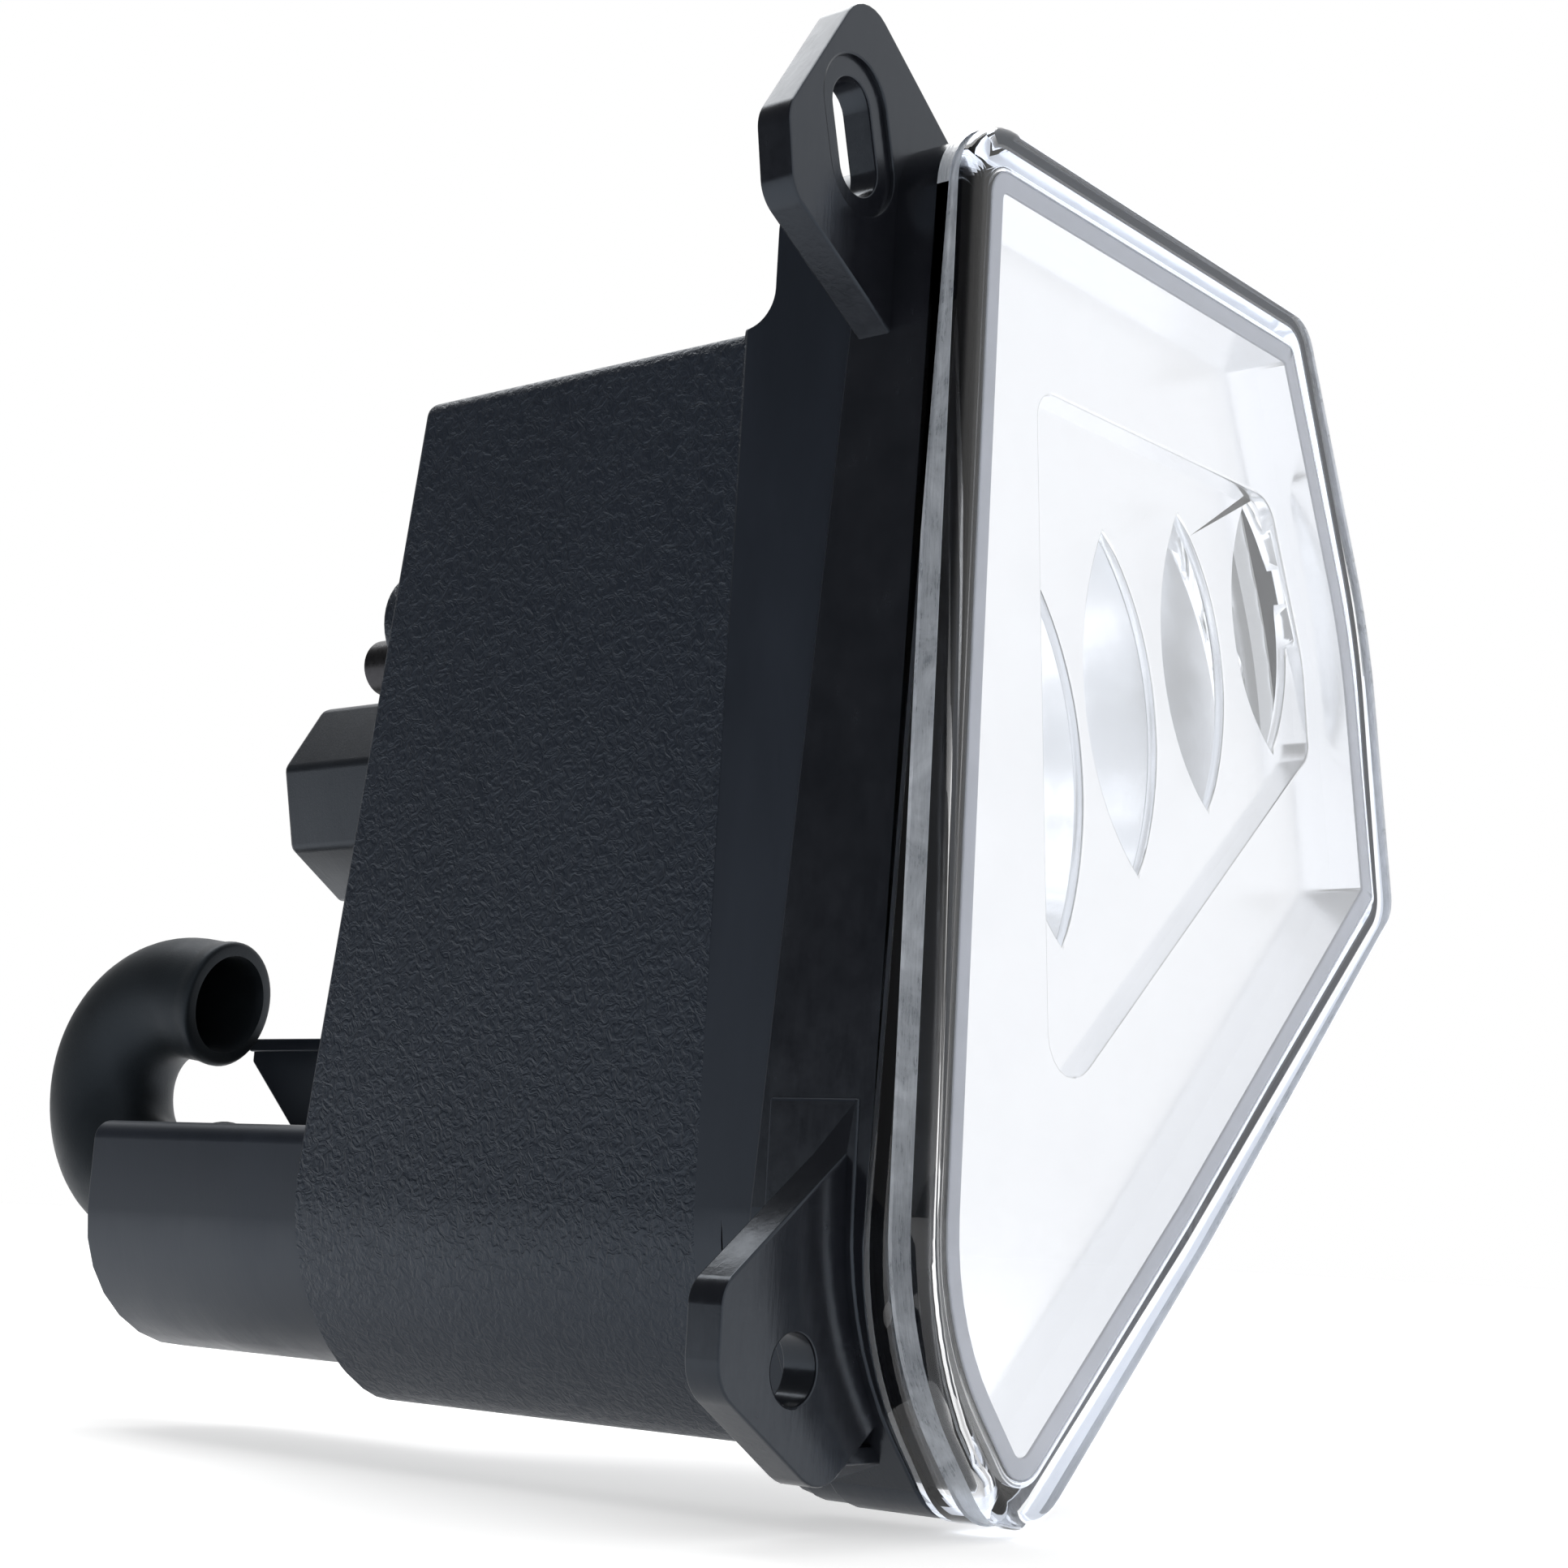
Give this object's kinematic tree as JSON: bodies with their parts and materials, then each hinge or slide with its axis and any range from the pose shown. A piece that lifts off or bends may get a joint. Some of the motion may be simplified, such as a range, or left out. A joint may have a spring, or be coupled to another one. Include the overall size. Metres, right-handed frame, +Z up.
{
  "type": "fog light",
  "caption": "Automotive fog light with a slant-cut clear lens, tilting reflector, twist-lock bulb, breather elbow and two mounting ears.",
  "frame": {"origin": "centre of the lower mounting hole on the front face of its ear", "axes": "+Z up, the lens faces -Y, +X towards the pointed side of the lens"},
  "size_m": [0.118, 0.1683, 0.1563],
  "materials": {
    "housing_plastic": "grained black moulding, smooth at the flange",
    "lens_clear": "clear polished polycarbonate",
    "lens_seal": "dark sealing bead",
    "bezel_chrome": "bright metallised plastic",
    "reflector_chrome": "bright metallised, fluted",
    "shield_metal": "bright plated steel",
    "pin_steel": "ground steel",
    "clip_steel": "sprung steel",
    "nylon_white": "natural nylon",
    "nylon_cream": "natural nylon",
    "screw_black": "black phosphated steel",
    "seal_black": "black rubber",
    "holder_plastic": "satin black moulding",
    "base_plastic": "black heat-proof plastic",
    "bulb_seal_rubber": "red silicone",
    "bulb_glass": "clear quartz",
    "filament_metal": "tungsten wire",
    "terminal_tin": "tinned brass blades",
    "breather_rubber": "soft black rubber",
    "filter_foam": "open felt"
  },
  "bodies": {
    "root": {"housing": "housing_plastic", "lens": "lens_clear", "lens_seal": "lens_seal", "bezel": "bezel_chrome", "pivot_pin": "pin_steel", "pin_clips": "clip_steel", "adjuster_seal": "seal_black", "vent_filter": "filter_foam"},
    "reflector": {"reflector": "reflector_chrome", "bulb_shield": "shield_metal", "ball_socket": "nylon_white"},
    "aiming_screw": {"adjuster_screw": "screw_black", "screw_clip": "clip_steel"},
    "aiming_nut": {"ball_nut": "nylon_cream"},
    "bulb": {"bulb_holder": "holder_plastic", "bulb_base": "base_plastic", "bulb_seal": "bulb_seal_rubber", "bulb_glass": "bulb_glass", "filament": "filament_metal", "terminals": "terminal_tin"},
    "breather": {"breather_elbow": "breather_rubber"}
  },
  "joints": [
    {"name": "aiming_screw_turn", "type": "hinge", "parent": "root", "child": "aiming_screw", "pos_m": [0.02, 0.082, 0.0816], "axis": [0, 1, 0], "range_deg": [-720, 720]},
    {"name": "aiming_nut_slide", "type": "slide", "parent": "root", "child": "aiming_nut", "axis": [0, 1, 0], "range_m": [-0.0017, 0.0017]},
    {"name": "reflector_tilt", "type": "hinge", "parent": "root", "child": "reflector", "pos_m": [0.034, 0.051, 0.024], "axis": [1, 0, 0], "range_deg": [-1.7, 1.7]},
    {"name": "bulb_twist", "type": "hinge", "parent": "root", "child": "bulb", "pos_m": [0.046, 0.096, 0.0702], "axis": [0, 1, 0], "range_deg": [0, 45]},
    {"name": "breather_swivel", "type": "hinge", "parent": "root", "child": "breather", "pos_m": [0.029, 0.1248, 0.015], "axis": [0, 1, 0], "range_deg": [-80, 0]}
  ],
  "couplings": [
    {"joint": "aiming_nut_slide", "follows": "aiming_screw_turn", "m_per_rad": 0.00012732},
    {"joint": "reflector_tilt", "follows": "aiming_screw_turn", "ratio": -0.0022105}
  ]
}
